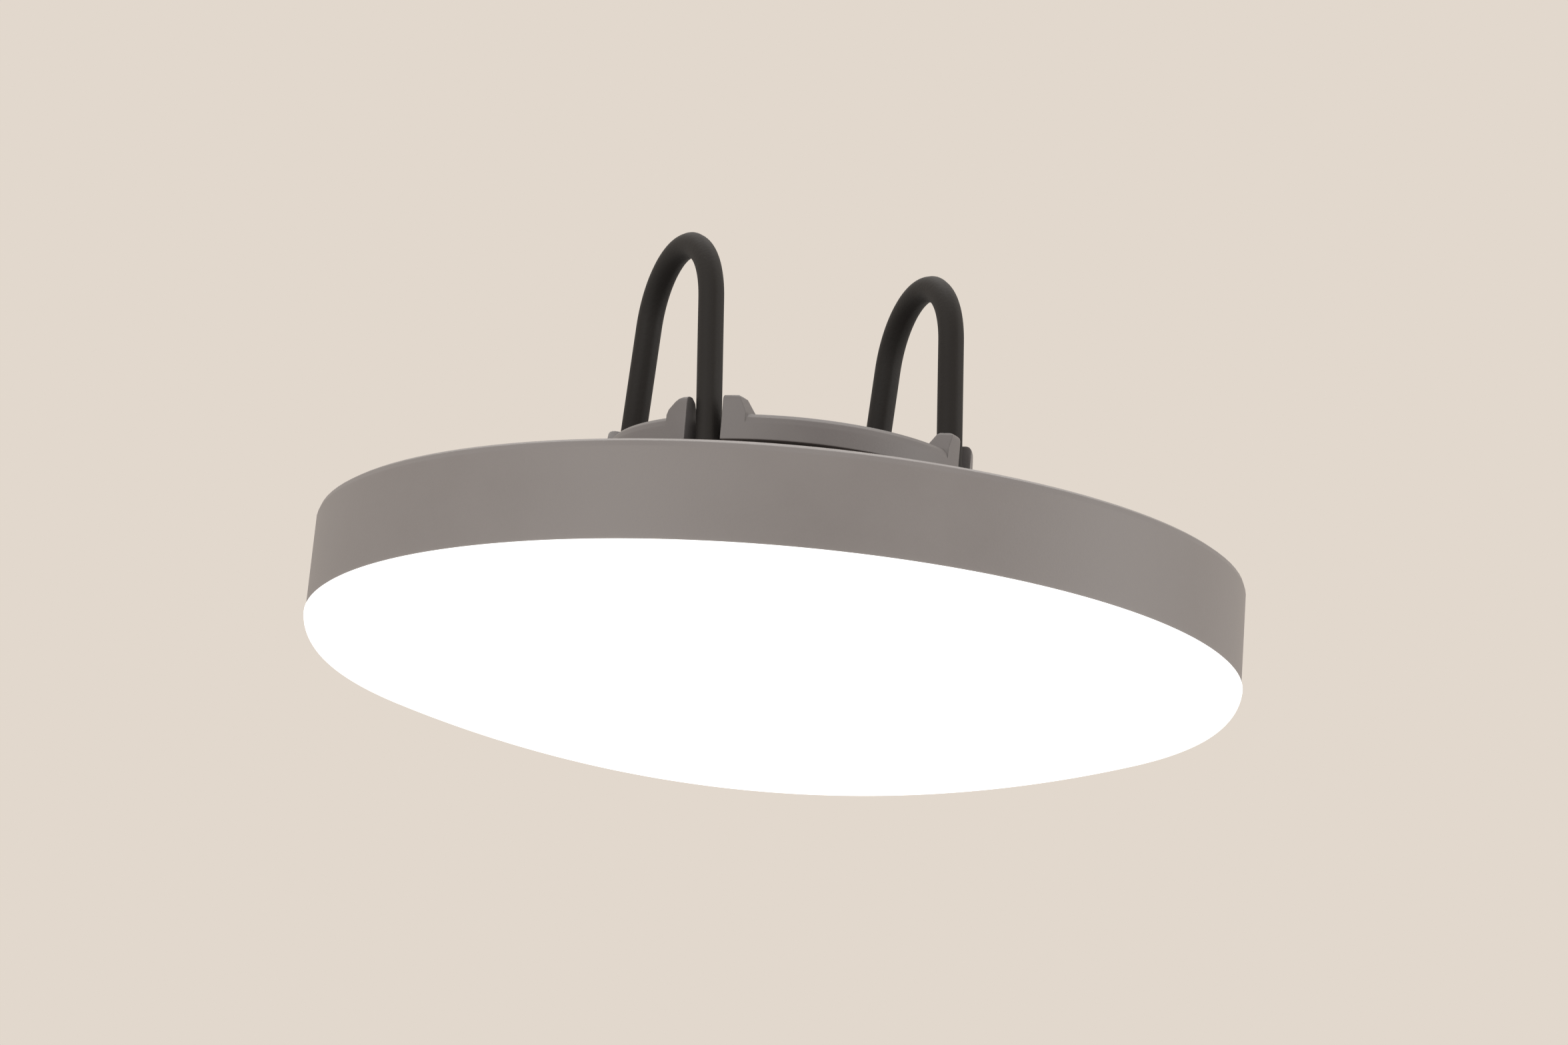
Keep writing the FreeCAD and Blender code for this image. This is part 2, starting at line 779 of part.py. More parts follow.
# ---- the moving pieces -----------------------------------------------------------------

def port_cover():
    """Flap over the charging port, with a barrel round the hinge pin and an oval plug."""
    y_low = controls_y - cover_reach
    plate = rounded_block(port_x, (y_low + hinge_y) / 2, cover_length, hinge_y - y_low,
                          cover_corner, cover_under_z, cover_top_z)
    heel = centred_block(port_x, hinge_y - cover_corner / 2, cover_length, cover_corner,
                         cover_under_z, cover_top_z)
    barrel_end = port_x - cover_length / 2
    barrel = Part.makeCylinder(hinge_radius, cover_length, V(barrel_end, hinge_y, hinge_z), ALONG)
    plug = oval(port_x, controls_y, port_length - 2 * plug_inset, port_width - 2 * plug_inset,
                plug_end_z, cover_under_z + EPS)
    bore = Part.makeCylinder(hinge_pin_radius + hinge_play, cover_length + 2 * EPS,
                             V(barrel_end - EPS, hinge_y, hinge_z), ALONG)
    return joined([plate, heel, barrel, plug]).cut(bore)


def hinge_pin():
    half = cover_length / 2 + cover_play + pin_seat
    return Part.makeCylinder(hinge_pin_radius, 2 * half, V(port_x - half, hinge_y, hinge_z), ALONG)


def power_button():
    """Round cap with a dished top, an inner flange that keeps it in and a stem."""
    flange_radius = button_radius + button_flange
    floor_z = button_top_z - button_dish
    edge = arc_points(button_radius - button_dish, floor_z, button_dish, 0, math.pi / 2, round_steps)
    button = turned([
        (0, plunger_top_z), (stem_radius, plunger_top_z), (stem_radius, stem_top_z),
        (flange_radius, stem_top_z), (flange_radius, flange_top_z), (button_radius, flange_top_z), *edge,
        (button_radius - button_rim, button_top_z), (button_radius - 2 * button_rim, floor_z), (0, floor_z),
    ])
    button.translate(V(button_x, controls_y, 0))
    return button


def switch_body():
    """Tactile switch under the button, with a bore for its plunger."""
    low = switch_top_z - plunger_sunk - 1.5 * button_travel
    body = centred_block(button_x, controls_y, switch_size, switch_size, control_z, switch_top_z)
    return body.cut(post(button_x, controls_y, plunger_radius + plunger_play, low, switch_top_z + EPS))


def switch_plunger():
    return post(button_x, controls_y, plunger_radius, switch_top_z - plunger_sunk, plunger_top_z)


def light_pipe():
    """Clear pin that shows the indicator on the back."""
    low = control_z + indicator_size[2] + indicator_gap
    pipe = post(indicator_x, controls_y, indicator_radius, low, back_z)
    flange = post(indicator_x, controls_y, indicator_radius + indicator_flange,
                  ceiling_z - indicator_flange_thickness, ceiling_z)
    return joined([pipe, flange])


# ---- writing the nodes -----------------------------------------------------------------

NODES = (
    back_shell, saddle_mount, saddle_seal, saddle_screws, strap_ring,
    diffuser, diffuser_gasket, reflector_ring, led_board, led_chips, board_screws,
    battery_cell, battery_pad, battery_lead, board_link,
    control_board, control_parts, control_screws, usb_socket,
    port_cover, hinge_pin, power_button, switch_body, switch_plunger, light_pipe,
)


def main():
    os.makedirs("parts", exist_ok=True)
    for make in NODES:
        shape = make()
        if not shape.isValid() or shape.Volume <= 0:
            print("bad solid:", make.__name__)
        shape.exportStep("parts/%s.step" % make.__name__)


main()
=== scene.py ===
import json
import math

import bpy
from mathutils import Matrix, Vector


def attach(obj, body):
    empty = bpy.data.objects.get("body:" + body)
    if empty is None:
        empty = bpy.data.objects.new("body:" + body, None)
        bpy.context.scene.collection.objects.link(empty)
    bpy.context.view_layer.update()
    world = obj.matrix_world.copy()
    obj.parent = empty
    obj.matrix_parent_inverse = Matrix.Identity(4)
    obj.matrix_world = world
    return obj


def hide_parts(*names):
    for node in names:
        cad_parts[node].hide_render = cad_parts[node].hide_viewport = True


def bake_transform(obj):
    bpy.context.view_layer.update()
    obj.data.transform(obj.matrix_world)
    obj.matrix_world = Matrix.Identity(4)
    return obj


# A round battery lamp that hangs under a strut, seen from a little below and lit.
# Metres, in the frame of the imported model: +Z up into the strut, X along the strut.

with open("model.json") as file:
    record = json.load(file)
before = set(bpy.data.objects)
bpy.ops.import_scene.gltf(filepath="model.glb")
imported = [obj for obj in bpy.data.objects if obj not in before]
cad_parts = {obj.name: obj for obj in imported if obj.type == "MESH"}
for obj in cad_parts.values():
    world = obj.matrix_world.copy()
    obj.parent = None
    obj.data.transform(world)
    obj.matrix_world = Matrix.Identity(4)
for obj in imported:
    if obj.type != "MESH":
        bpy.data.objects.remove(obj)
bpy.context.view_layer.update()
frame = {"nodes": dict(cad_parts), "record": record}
MM = 0.001

# ---- sizes of the two pieces made here, in millimetres, after the solids they replace --

LAMP_RADIUS = 52.0
EDGE_Z = -22.3                      # where the dome's soft edge ends
DOME_DEPTH = 12.4
DOME_EDGE_ROUND = 3.2
LENS_WALL = 1.8
SKIRT_RADIUS = 49.9
SKIRT_BORE = 48.2
SKIRT_HEIGHT = 4.6
GROOVE = (-21.6, -20.4, 48.85)      # low, high and inner radius of the gasket's groove
BEAD = (-18.7, 0.5, 50.45)          # middle, half height and outer radius of the snap bead

CORD_RADIUS = 1.48                  # over its moulding lines, a little less than the solid's 1.5
CORD_RIDGE = 0.05                   # height of the moulding line on two sides of the ring
RIDGE_REACH = 0.04                  # its reach round the section, as a drop of the cosine
NECK_Z = -4.75                      # height of the ring's middle line round the neck
RIM_UNDER_Z = -3.1                  # height of the underside of the saddle's rim
STRAND_X = 14.455                   # strands where they leave the rim's underside
STRAND_Y = 11.705
OVER_RADIUS = 9.0                   # pass over the strut and its centre's height
OVER_Z = 12.5
BEND_REACH = 1.85                   # tangent length of the bend under the rim

# places that materials refer to, in millimetres

BUTTON = (12.0, 32.5)               # middle of the button, across and along
MARK_RADIUS = 1.55                  # standby mark on the button
MARK_WIDTH = 0.36
MARK_EDGE = 0.04                    # softness of its edge
MARK_GAP = 0.44                     # half width of the ring's gap
MARK_BAR = (1.25, 0.72)             # middle and half length of its bar
CHIP_WINDOW = (-20.1, -19.85)       # heights between which a chip's window gives way to its body
LENS_DIMMING = (20.0, 51.8)         # radii between which the lens dims a little
LENS_WARMING = (35.0, 52.0)

# ---- view -------------------------------------------------------------------------------

AZIMUTH = math.radians(-22.0)
ELEVATION = math.radians(-13.25)
ROLL = math.radians(4.84)
DISTANCE = 2.6
FOCAL_LENGTH = 540                  # millimetres, for a sensor 36 wide
AIM = Vector((0.0, 0.0, -0.0075))
FLOOR_Z = -4.2
FLOOR_SIZE = 40

# ---- materials ------------------------------------------------------------------------


def colour(red, green, blue):
    """Linear colour from screen values of 0 to 255."""
    values = []
    for value in (red, green, blue):
        share = value / 255
        values.append(share / 12.92 if share <= 0.04045 else ((share + 0.055) / 1.055) ** 2.4)
    return (*values, 1.0)


USUAL_NOISE = (0.3, 0.7)            # between these lies most of a noise


class Surface:
    """A node material on object coordinates, built up step by step. Scales are per metre."""

    def __init__(self, name):
        self.material = bpy.data.materials.new(name)
        self.material.use_nodes = True
        self.tree = self.material.node_tree
        self.shader = self.tree.nodes["Principled BSDF"]
        self.place = self.node("ShaderNodeTexCoord").outputs["Object"]

    def node(self, kind, **values):
        made = self.tree.nodes.new(kind)
        for name, value in values.items():
            setattr(made, name, value)
        return made

    def feed(self, socket, source):
        """Sets a socket to a number or colour, or links an output to it."""
        if isinstance(source, bpy.types.NodeSocket):
            self.tree.links.new(source, socket)
        else:
            socket.default_value = source

    def noise(self, scale, detail=3.0, roughness=0.55, stretch=None):
        made = self.node("ShaderNodeTexNoise")
        self.feed(made.inputs["Vector"], self.stretched(stretch) if stretch else self.place)
        made.inputs["Scale"].default_value = scale
        made.inputs["Detail"].default_value = detail
        made.inputs["Roughness"].default_value = roughness
        return made.outputs["Fac"]

    def cells(self, scale):
        made = self.node("ShaderNodeTexVoronoi")
        self.feed(made.inputs["Vector"], self.place)
        made.inputs["Scale"].default_value = scale
        return made.outputs["Distance"]

    def stretched(self, factors):
        made = self.node("ShaderNodeMapping")
        self.feed(made.inputs["Vector"], self.place)
        made.inputs["Scale"].default_value = factors
        return made.outputs["Vector"]

    def axis(self, name):
        made = self.node("ShaderNodeSeparateXYZ")
        self.feed(made.inputs["Vector"], self.place)
        return made.outputs[name]

    def math(self, operation, *values):
        made = self.node("ShaderNodeMath", operation=operation)
        for socket, value in zip(made.inputs, values):
            self.feed(socket, value)
        return made.outputs["Value"]

    def spread(self, source, low, high, to_low, to_high):
        """Maps a range of a value to another range, without going past it."""
        made = self.node("ShaderNodeMapRange", clamp=True)
        for name, value in (("Value", source), ("From Min", low), ("From Max", high),
                            ("To Min", to_low), ("To Max", to_high)):
            self.feed(made.inputs[name], value)
        return made.outputs["Result"]

    def mix(self, factor, first, second):
        made = self.node("ShaderNodeMix", data_type="RGBA")
        self.feed(made.inputs[0], factor)
        self.feed(made.inputs[6], first)
        self.feed(made.inputs[7], second)
        return made.outputs[2]

    def vary(self, noise, low, high):
        """A value that follows a noise, from low to high over the noise's usual range."""
        return self.spread(noise, *USUAL_NOISE, low, high)

    def grade(self, source, first, second, low=USUAL_NOISE[0], high=USUAL_NOISE[1]):
        """First colour where a value is under low, second where it is over high, and mixed between."""
        return self.mix(self.spread(source, low, high, 0.0, 1.0), first, second)

    def distance_to(self, x, y):
        """Distance from an upright line through (x, y)."""
        across = self.math("SUBTRACT", self.axis("X"), x)
        along = self.math("SUBTRACT", self.axis("Y"), y)
        return self.math("SQRT", self.math("ADD", self.math("MULTIPLY", across, across),
                                           self.math("MULTIPLY", along, along)))

    def rounded(self, radius):
        """Normal with the edges softened by a radius."""
        made = self.node("ShaderNodeBevel", samples=6)
        made.inputs["Radius"].default_value = radius
        return made.outputs["Normal"]

    def edges(self, radius):
        """Near 1 along edges and 0 elsewhere."""
        dot = self.node("ShaderNodeVectorMath", operation="DOT_PRODUCT")
        self.feed(dot.inputs[0], self.rounded(radius))
        self.feed(dot.inputs[1], self.node("ShaderNodeNewGeometry").outputs["Normal"])
        return self.spread(dot.outputs["Value"], 0.8, 1.0, 1.0, 0.0)

    def bump(self, height, distance, normal=None):
        made = self.node("ShaderNodeBump")
        self.feed(made.inputs["Height"], height)
        made.inputs["Distance"].default_value = distance
        made.inputs["Strength"].default_value = 1.0
        if normal is not None:
            self.feed(made.inputs["Normal"], normal)
        return made.outputs["Normal"]

    def band(self, value, half_width, softness):
        """1 where a value is within a half width of 0, with a soft edge."""
        size = self.math("ABSOLUTE", value)
        return self.spread(size, half_width - softness / 2, half_width + softness / 2, 1.0, 0.0)

    def finish(self, base, roughness, normal=None, **constants):
        """The finished material. Constants are named as the shader's sockets, with _ for a space."""
        self.feed(self.shader.inputs["Base Color"], base)
        self.feed(self.shader.inputs["Roughness"], roughness)
        if normal is not None:
            self.feed(self.shader.inputs["Normal"], normal)
        for name, value in constants.items():
            self.shader.inputs[name.replace("_", " ")].default_value = value
        return self.material


def moulded(name, dark, light, grain=3800, height=0.018 * MM, roughness=0.5, corner=0.25 * MM,
            worn=None, **constants):
    """Moulded plastic or rubber: fine grain, faint clouding and, with a worn colour, rubbed edges."""
    made = Surface(name)
    clouds = made.noise(55, 5.0, 0.6)
    fine = made.noise(grain, 2.0, 0.5)
    base = made.grade(clouds, dark, light, 0.35, 0.65)
    specks = made.spread(fine, 0.35, 0.7, 0.0, 0.22)
    base = made.mix(specks, base, light)
    if worn:
        patches = made.spread(made.noise(210, 3.0), 0.4, 0.65, 0.1, 0.5)
        base = made.mix(made.math("MULTIPLY", made.edges(1.6 * corner), patches), base, worn)
    rough = made.vary(clouds, roughness - 0.05, roughness + 0.06)
    return made.finish(base, rough, made.bump(fine, height, made.rounded(corner)), **constants)


def metal(name, tone, roughness=0.3, grain=1800, stretch=(1, 1, 1), corner=0.12 * MM):
    """Plated or stamped metal with fine drawn or turned marks."""
    made = Surface(name)
    marks = made.noise(grain, 3.0, 0.6, stretch)
    blotches = made.noise(320, 4.0, 0.6)
    dark = tuple(0.72 * value for value in tone[:3]) + (1.0,)
    base = made.mix(made.vary(blotches, 0.0, 0.6), tone, dark)
    rough = made.vary(marks, roughness - 0.08, roughness + 0.12)
    return made.finish(base, rough, made.bump(marks, 0.006 * MM, made.rounded(corner)), Metallic=1.0)


def opal():
    """Opal lens, lit from behind: even and white, a touch dimmer towards its edge."""
    made = Surface("opal")
    radius = made.distance_to(0.0, 0.0)
    cloud = made.noise(120, 3.0, 0.5)
    near, far = (value * MM for value in LENS_DIMMING)
    glow = made.spread(radius, near, far, 1.35, 1.02)
    glow = made.math("ADD", glow, made.vary(cloud, -0.015, 0.015))
    near, far = (value * MM for value in LENS_WARMING)
    tint = made.grade(radius, (1.0, 1.0, 1.0, 1.0), (1.0, 0.985, 0.965, 1.0), near, far)
    made.feed(made.shader.inputs["Emission Color"], tint)
    made.feed(made.shader.inputs["Emission Strength"], glow)
    base = made.grade(cloud, colour(232, 231, 227), colour(240, 240, 238))
    fine = made.bump(made.noise(2600, 2.0), 0.004 * MM)
    return made.finish(base, made.vary(cloud, 0.3, 0.38), fine)


def board(name, mask, under, copper, pitch):
    """Circuit board: solder mask over traces, with a faint weave below it."""
    made = Surface(name)
    tracks = made.node("ShaderNodeTexBrick", offset=0.37, squash=0.7, squash_frequency=3)
    made.feed(tracks.inputs["Vector"], made.place)
    tracks.inputs["Color1"].default_value = (1, 1, 1, 1)
    tracks.inputs["Color2"].default_value = (0.6, 0.6, 0.6, 1)
    tracks.inputs["Mortar"].default_value = (0, 0, 0, 1)
    tracks.inputs["Scale"].default_value = 1 / pitch
    tracks.inputs["Mortar Size"].default_value = 0.06
    weave = made.noise(2200, 2.0, 0.5, (1, 0.3, 1))
    base = made.mix(tracks.outputs["Fac"], mask, under)
    vias = made.spread(made.cells(1 / (1.7 * pitch)), 0.06, 0.09, 1.0, 0.0)
    base = made.mix(vias, base, copper)
    height = made.math("ADD", tracks.outputs["Fac"], made.math("MULTIPLY", weave, 0.3))
    return made.finish(base, made.vary(weave, 0.25, 0.4), made.bump(height, 0.02 * MM))


def foil():
    """Aluminium pouch: brushed film with soft creases."""
    made = Surface("battery")
    creases = made.noise(180, 4.0, 0.65)
    drawn = made.noise(900, 2.0, 0.5, (0.06, 1, 1))
    base = made.grade(creases, colour(168, 171, 176), colour(196, 199, 203), 0.35, 0.65)
    rough = made.vary(drawn, 0.24, 0.42)
    height = made.math("ADD", creases, made.math("MULTIPLY", drawn, 0.1))
    return made.finish(base, rough, made.bump(height, 0.12 * MM, made.rounded(0.5 * MM)), Metallic=0.85)


def foam():
    """Dark adhesive foam with open cells."""
    made = Surface("foam")
    holes = made.cells(2100)
    base = made.grade(holes, colour(28, 28, 30), colour(62, 61, 62), 0.1, 0.6)
    return made.finish(base, made.spread(holes, 0, 0.7, 0.8, 0.95), made.bump(holes, 0.1 * MM))


def lead():
    """Insulation of the two wires: red on one side, black on the other."""
    made = Surface("lead")
    fine = made.noise(1500, 3.0)
    red = made.grade(fine, colour(150, 28, 22), colour(176, 40, 32))
    base = made.grade(made.axis("X"), colour(34, 33, 33), red, -0.1 * MM, 0.1 * MM)
    return made.finish(base, made.vary(fine, 0.35, 0.5), made.bump(fine, 0.01 * MM))


def phosphor():
    """LED chip: white body with a grainy yellow window underneath."""
    made = Surface("led")
    grains = made.cells(5200)
    yellow = made.grade(grains, colour(240, 205, 84), colour(224, 178, 58), 0.0, 0.6)
    low, high = (value * MM for value in CHIP_WINDOW)
    base = made.grade(made.axis("Z"), yellow, colour(238, 237, 230), low, high)
    return made.finish(base, made.spread(grains, 0, 0.6, 0.28, 0.45), made.bump(grains, 0.02 * MM))


def button_finish():
    """Soft-touch button with the usual standby mark, a broken ring and a bar, in its dish."""
    made = Surface("button")
    clouds = made.noise(160, 4.0, 0.6)
    fine = made.noise(3800, 2.0)
    x, y = (value * MM for value in BUTTON)
    across = made.math("SUBTRACT", made.axis("X"), x)
    along = made.math("SUBTRACT", made.axis("Y"), y)
    half = MARK_WIDTH / 2 * MM
    edge = MARK_EDGE * MM
    bar_middle, bar_half = (value * MM for value in MARK_BAR)
    ring = made.band(made.math("SUBTRACT", made.distance_to(x, y), MARK_RADIUS * MM), half, edge)
    outward = made.spread(along, 0, 0.1 * MM, 0, 1)
    gap = made.math("MULTIPLY", made.band(across, MARK_GAP * MM, edge), outward)
    ring = made.math("MULTIPLY", ring, made.math("SUBTRACT", 1.0, gap))
    length = made.band(made.math("SUBTRACT", along, bar_middle), bar_half, edge)
    bar = made.math("MULTIPLY", made.band(across, half, edge), length)
    mark = made.math("MAXIMUM", ring, bar)
    base = made.grade(clouds, colour(96, 91, 88), colour(106, 100, 97), 0.35, 0.65)
    base = made.mix(mark, base, colour(196, 190, 184))
    height = made.math("SUBTRACT", fine, made.math("MULTIPLY", mark, 2.5))
    return made.finish(base, made.vary(clouds, 0.5, 0.6),
                       made.bump(height, 0.018 * MM, made.rounded(0.2 * MM)), Sheen_Weight=0.1)


def clear():
    """Clear moulding, slightly clouded."""
    made = Surface("clear")
    cloud = made.noise(500, 3.0)
    base = made.grade(cloud, colour(228, 236, 231), colour(240, 245, 242))
    return made.finish(base, made.vary(cloud, 0.12, 0.22), made.bump(cloud, 0.01 * MM),
                       Transmission_Weight=0.85, IOR=1.49)


COPPER = colour(206, 170, 110)

materials = {
    "housing": moulded("housing", colour(141, 133, 129), colour(147, 139, 135), worn=colour(166, 158, 153)),
    # saddle: the housing's plastic, made darker as painted shade of the strut above it, which is left out
    "saddle": moulded("saddle", colour(124, 117, 114), colour(132, 125, 121), worn=colour(154, 147, 142)),
    "seal": moulded("seal", colour(20, 20, 20), colour(30, 30, 29), grain=1500, roughness=0.45),
    "screw": metal("screw", colour(190, 190, 188), stretch=(1, 1, 0.1)),
    "elastic": moulded("elastic", colour(11, 7, 5), colour(22, 17, 14), grain=2400, height=0.03 * MM,
                       roughness=0.7, corner=0.1 * MM, Sheen_Weight=0.02),
    "opal": opal(),
    "reflector": moulded("reflector", colour(232, 232, 229), colour(240, 240, 238), grain=1500,
                         height=0.006 * MM, roughness=0.2),
    "led_board": board("led_board", colour(238, 238, 235), colour(226, 227, 224), COPPER, pitch=3.4 * MM),
    "led": phosphor(),
    "battery": foil(),
    "foam": foam(),
    "lead": lead(),
    "control_board": board("control_board", colour(24, 92, 52), colour(38, 118, 66), COPPER,
                           pitch=1.9 * MM),
    "electronics": moulded("electronics", colour(30, 30, 31), colour(42, 42, 43), grain=2600,
                           height=0.01 * MM, roughness=0.48, corner=0.1 * MM),
    "socket": metal("socket", colour(198, 199, 201), roughness=0.26, grain=1500, stretch=(1, 1, 0.12),
                    corner=0.08 * MM),
    "cover": moulded("cover", colour(92, 87, 84), colour(104, 98, 95), grain=3000, roughness=0.6,
                     worn=colour(128, 122, 118), Sheen_Weight=0.15),
    "pin": metal("pin", colour(200, 200, 200), roughness=0.22, grain=2200, stretch=(0.05, 1, 1),
                 corner=0.05 * MM),
    "button": button_finish(),
    "plunger": moulded("plunger", colour(214, 212, 204), colour(224, 222, 216), grain=1600,
                       height=0.006 * MM, roughness=0.35, corner=0.08 * MM),
    "clear": clear(),
}

for part in frame["record"]["subparts"]:
    for slot in frame["nodes"][part["node"]].material_slots:
        slot.material = materials[part["material_slot"]]

# ---- pieces ----------------------------------------------------------------------------

LENS_AROUND = 224
CROWN_STEPS = 30                    # points along the dome, its soft edge and its inside
EDGE_STEPS = 16
INSIDE_STEPS = 24
CORD_AROUND = 40
NECK_STEPS = 28                     # points along each stretch of a quarter of the ring
BEND_STEPS = 14
STRAND_STEPS = 24
OVER_STEPS = 24


def mesh_piece(name, points, faces, slot):
    """Smooth piece from points in millimetres."""
    mesh = bpy.data.meshes.new(name)
    mesh.from_pydata([Vector(point) * MM for point in points], [], faces)
    mesh.validate()
    for polygon in mesh.polygons:
        polygon.use_smooth = True
    piece = bpy.data.objects.new(name, mesh)
    bpy.context.scene.collection.objects.link(piece)
    mesh.materials.append(materials[slot])
    return piece


def arc(centre, size, first, last, steps):
    """Points on an arc in the (radius, height) plane, angles in radians."""
    points = []
    for step in range(steps + 1):
        angle = first + (last - first) * step / steps
        points.append((centre[0] + size * math.cos(angle), centre[1] + size * math.sin(angle)))
    return points


def lathe(outline, around):
    """Points and faces of an outline turned about Z. It starts and ends on the axis."""
    rim = outline[1:-1]
    count = len(rim)
    points = [(0, 0, outline[0][1]), (0, 0, outline[-1][1])]
    faces = []
    for index in range(around):
        angle = 2 * math.pi * index / around
        points += [(radius * math.cos(angle), radius * math.sin(angle), height) for radius, height in rim]
        here = 2 + index * count
        there = 2 + (index + 1) % around * count
        faces.append((0, there, here))
        for step in range(count - 1):
            faces.append((here + step, there + step, there + step + 1, here + step + 1))
        faces.append((1, here + count - 1, there + count - 1))
    return points, faces


def sharpened(outline, corners, inset=0.12):
    """Outline whose named corners get a small bevel, so that smooth shading keeps them crisp."""
    points = []
    for index, corner in enumerate(outline):
        if index not in corners:
            points.append(corner)
            continue
        here = Vector(corner)
        for other in (outline[index - 1], outline[index + 1]):
            way = Vector(other) - here
            points.append(tuple(here + way * min(0.4, inset / way.length)))
    return points


def lens_outline():
    """Outline of the opal lens: dome, soft edge, skirt with its groove and bead, and the inside."""
    flat = LAMP_RADIUS - DOME_EDGE_ROUND
    crown = (flat ** 2 + DOME_DEPTH ** 2 - DOME_EDGE_ROUND ** 2) / (2 * (DOME_DEPTH - DOME_EDGE_ROUND))
    centre = (0, EDGE_Z - DOME_DEPTH + crown)
    down = -math.pi / 2
    lean = math.asin(flat / (crown - DOME_EDGE_ROUND))
    inner_lean = math.asin(SKIRT_BORE / (crown - LENS_WALL))
    outline = arc(centre, crown, down, down + lean, CROWN_STEPS)
    outline += arc((flat, EDGE_Z), DOME_EDGE_ROUND, down + lean, 0, EDGE_STEPS)[1:]
    first = len(outline) - 1
    low, high, bottom = GROOVE
    middle, half, tip = BEAD
    top = EDGE_Z + SKIRT_HEIGHT
    outline += [
        (SKIRT_RADIUS, EDGE_Z), (SKIRT_RADIUS, low), (bottom, low), (bottom, high), (SKIRT_RADIUS, high),
        (SKIRT_RADIUS, middle - half), (tip, middle), (SKIRT_RADIUS, middle + half),
        (SKIRT_RADIUS, top), (SKIRT_BORE, top),
    ]
    # crisp from the end of the soft edge to the start of the inside
    corners = range(first, len(outline) + 1)
    outline += arc(centre, crown - LENS_WALL, down + inner_lean, down, INSIDE_STEPS)
    return sharpened(outline, corners)


def ring_path():
    """Middle line of the elastic ring, as one closed loop of points."""
    # the strand leans so that it touches the bend over the strut
    rise = OVER_Z - RIM_UNDER_Z
    lean = math.atan2(STRAND_Y, rise) - math.asin(OVER_RADIUS / math.hypot(STRAND_Y, rise))
    corner_y = STRAND_Y + (RIM_UNDER_Z - NECK_Z) * math.tan(lean)
    corner = math.hypot(STRAND_X, corner_y)
    radius = math.sqrt(corner ** 2 - BEND_REACH ** 2)
    begin = math.atan2(corner_y, STRAND_X) + math.asin(BEND_REACH / corner)
    neck_end = Vector((radius * math.cos(begin), radius * math.sin(begin), NECK_Z))
    heading = Vector((math.sin(begin), -math.cos(begin), 0))
    rising = Vector((0, -math.sin(lean), math.cos(lean)))
    strand_start = neck_end + (heading + rising) * BEND_REACH
    bend_radius = BEND_REACH / math.tan(heading.angle(rising) / 2)
    inward = (rising - heading * heading.dot(rising)).normalized()
    bend_centre = neck_end + inward * bend_radius
    over_start = Vector((STRAND_X, OVER_RADIUS * math.cos(lean), OVER_Z + OVER_RADIUS * math.sin(lean)))

    # a quarter of the ring, from the middle of the neck's side to the top of the strut
    quarter = []
    for step in range(NECK_STEPS):
        angle = math.pi / 2 + (begin - math.pi / 2) * step / NECK_STEPS
        quarter.append(Vector((radius * math.cos(angle), radius * math.sin(angle), NECK_Z)))
    turn = heading.angle(rising)
    for step in range(BEND_STEPS):
        angle = turn * step / BEND_STEPS
        spoke = -inward * math.cos(angle) + heading * math.sin(angle)
        quarter.append(bend_centre + spoke * bend_radius)
    for step in range(STRAND_STEPS):
        quarter.append(strand_start.lerp(over_start, step / STRAND_STEPS))
    for step in range(OVER_STEPS + 1):
        angle = lean + (math.pi / 2 - lean) * step / OVER_STEPS
        y = OVER_RADIUS * math.cos(angle)
        quarter.append(Vector((STRAND_X, y, OVER_Z + OVER_RADIUS * math.sin(angle))))

    # mirrored to the far side, then to the other strand
    half = quarter + [Vector((p.x, -p.y, p.z)) for p in reversed(quarter[:-1])]
    return half + [Vector((-p.x, p.y, p.z)) for p in reversed(half[1:-1])]


def section_sizes(radius, ridge, around):
    """Radii round the ring's section, with a faint moulding line on two sides."""
    sizes = []
    for step in range(around):
        drop = 1 - abs(math.cos(2 * math.pi * step / around))
        sizes.append(radius - ridge * min(1.0, drop / RIDGE_REACH))
    return sizes


def closed_tube(path, sizes):
    """Points and faces of a closed tube along a path, from the radii round its section."""
    count = len(path)
    around = len(sizes)
    frames = []
    normal = (path[1] - path[-1]).orthogonal().normalized()
    for index in range(count):
        heading = (path[(index + 1) % count] - path[index - 1]).normalized()
        normal = (normal - heading * normal.dot(heading)).normalized()
        frames.append((heading, normal))
    # the frames come back turned by some angle, which is shared out along the ring
    heading, last = frames[-1]
    first = frames[0][1]
    first = (first - heading * first.dot(heading)).normalized()
    twist = math.atan2(heading.dot(last.cross(first)), last.dot(first))
    points = []
    faces = []
    for index, (heading, normal) in enumerate(frames):
        side = heading.cross(normal)
        here = index * around
        there = (index + 1) % count * around
        for step, size in enumerate(sizes):
            angle = twist * index / count + 2 * math.pi * step / around
            points.append(path[index] + (normal * math.cos(angle) + side * math.sin(angle)) * size)
            after = (step + 1) % around
            faces.append((here + step, there + step, there + after, here + after))
    return points, faces


lens = mesh_piece("opal_lens", *lathe(lens_outline(), LENS_AROUND), "opal")
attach(lens, "lamp")
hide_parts("diffuser")

cord = section_sizes(CORD_RADIUS, CORD_RIDGE, CORD_AROUND)
ring = mesh_piece("elastic_ring", *closed_tube(ring_path(), cord), "elastic")
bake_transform(ring)
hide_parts("strap_ring")

# ---- floor, light and camera -----------------------------------------------------------


def pale(name, tone, share):
    """Plain matte surface with a faint cloud between a tone and a share of it."""
    made = Surface(name)
    softer = tuple(value * share for value in tone[:3]) + (1.0,)
    return made.finish(made.grade(made.noise(1.3, 4.0, 0.5), tone, softer), 0.9)


def background(tree, tone, strength):
    """Background shader of one tone."""
    made = tree.nodes.new("ShaderNodeBackground")
    made.inputs["Color"].default_value = tone
    made.inputs["Strength"].default_value = strength
    return made.outputs["Background"]


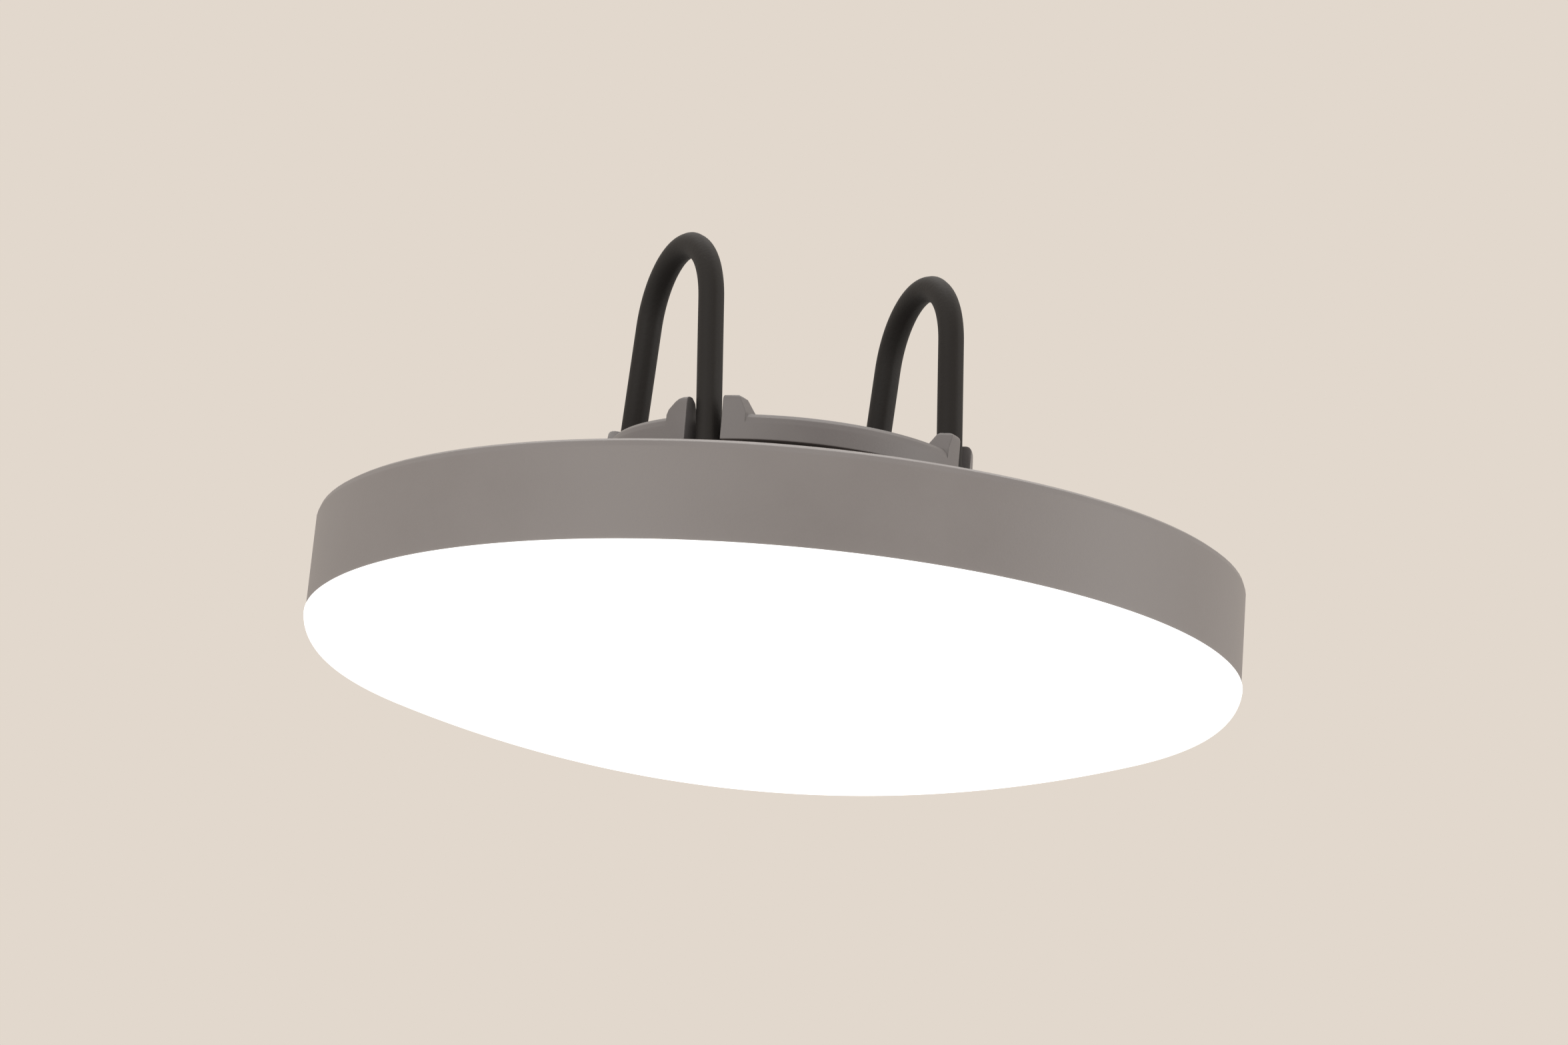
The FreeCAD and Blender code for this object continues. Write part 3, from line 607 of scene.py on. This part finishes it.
def studio(light, light_strength, seen):
    """World that lights with one tone, and shows another to the camera and in reflections."""
    world = bpy.data.worlds.new("studio")
    bpy.context.scene.world = world
    world.use_nodes = True
    tree = world.node_tree
    rays = tree.nodes.new("ShaderNodeLightPath")
    shown = rays.outputs["Is Camera Ray"]
    for kind in ("Is Glossy Ray", "Is Transmission Ray"):
        either = tree.nodes.new("ShaderNodeMath")
        either.operation = "MAXIMUM"
        tree.links.new(shown, either.inputs[0])
        tree.links.new(rays.outputs[kind], either.inputs[1])
        shown = either.outputs["Value"]
    choose = tree.nodes.new("ShaderNodeMixShader")
    tree.links.new(shown, choose.inputs["Fac"])
    tree.links.new(background(tree, light, light_strength), choose.inputs[1])
    tree.links.new(background(tree, seen, 1.0), choose.inputs[2])
    tree.links.new(choose.outputs["Shader"], tree.nodes["World Output"].inputs["Surface"])


def softbox(name, place, size, power, tone):
    """Square area light aimed at the lamp."""
    data = bpy.data.lights.new(name, "AREA")
    data.size = size
    data.energy = power
    data.color = tone
    light = bpy.data.objects.new(name, data)
    light.location = place
    light.rotation_euler = (-Vector(place)).to_track_quat("-Z", "Y").to_euler()
    bpy.context.scene.collection.objects.link(light)


def place_camera():
    """Camera that looks at the lamp from the photographer's side."""
    view = bpy.data.cameras.new("camera")
    view.lens = FOCAL_LENGTH
    view.sensor_width = 36
    view.clip_start = 0.05
    view.clip_end = 100
    level = math.cos(ELEVATION)
    back = Vector((math.sin(AZIMUTH) * level, -math.cos(AZIMUTH) * level, math.sin(ELEVATION)))
    camera = bpy.data.objects.new("camera", view)
    camera.location = AIM + back * DISTANCE
    camera.rotation_euler = back.to_track_quat("Z", "Y").to_euler()
    camera.rotation_euler.rotate_axis("Z", ROLL)
    bpy.context.scene.collection.objects.link(camera)
    bpy.context.scene.camera = camera


bpy.ops.mesh.primitive_plane_add(size=FLOOR_SIZE, location=(0, 0, FLOOR_Z))
floor = bpy.context.object
floor.name = "floor"
floor.data.materials.append(pale("floor", colour(250, 239, 226), 0.985))

studio(light=(0.92, 0.96, 1.0, 1.0), light_strength=0.62, seen=colour(226, 216, 205))
softbox("left", (-1.9, -1.0, 0.4), size=1.3, power=13.5, tone=(1.0, 0.985, 0.96))
softbox("right", (1.9, -1.0, 0.3), size=1.5, power=14, tone=(1.0, 0.99, 0.97))
softbox("above", (0.3, 0.9, 1.9), size=1.5, power=16, tone=(1.0, 0.985, 0.96))
place_camera()
bpy.context.scene.view_settings.view_transform = "Standard"
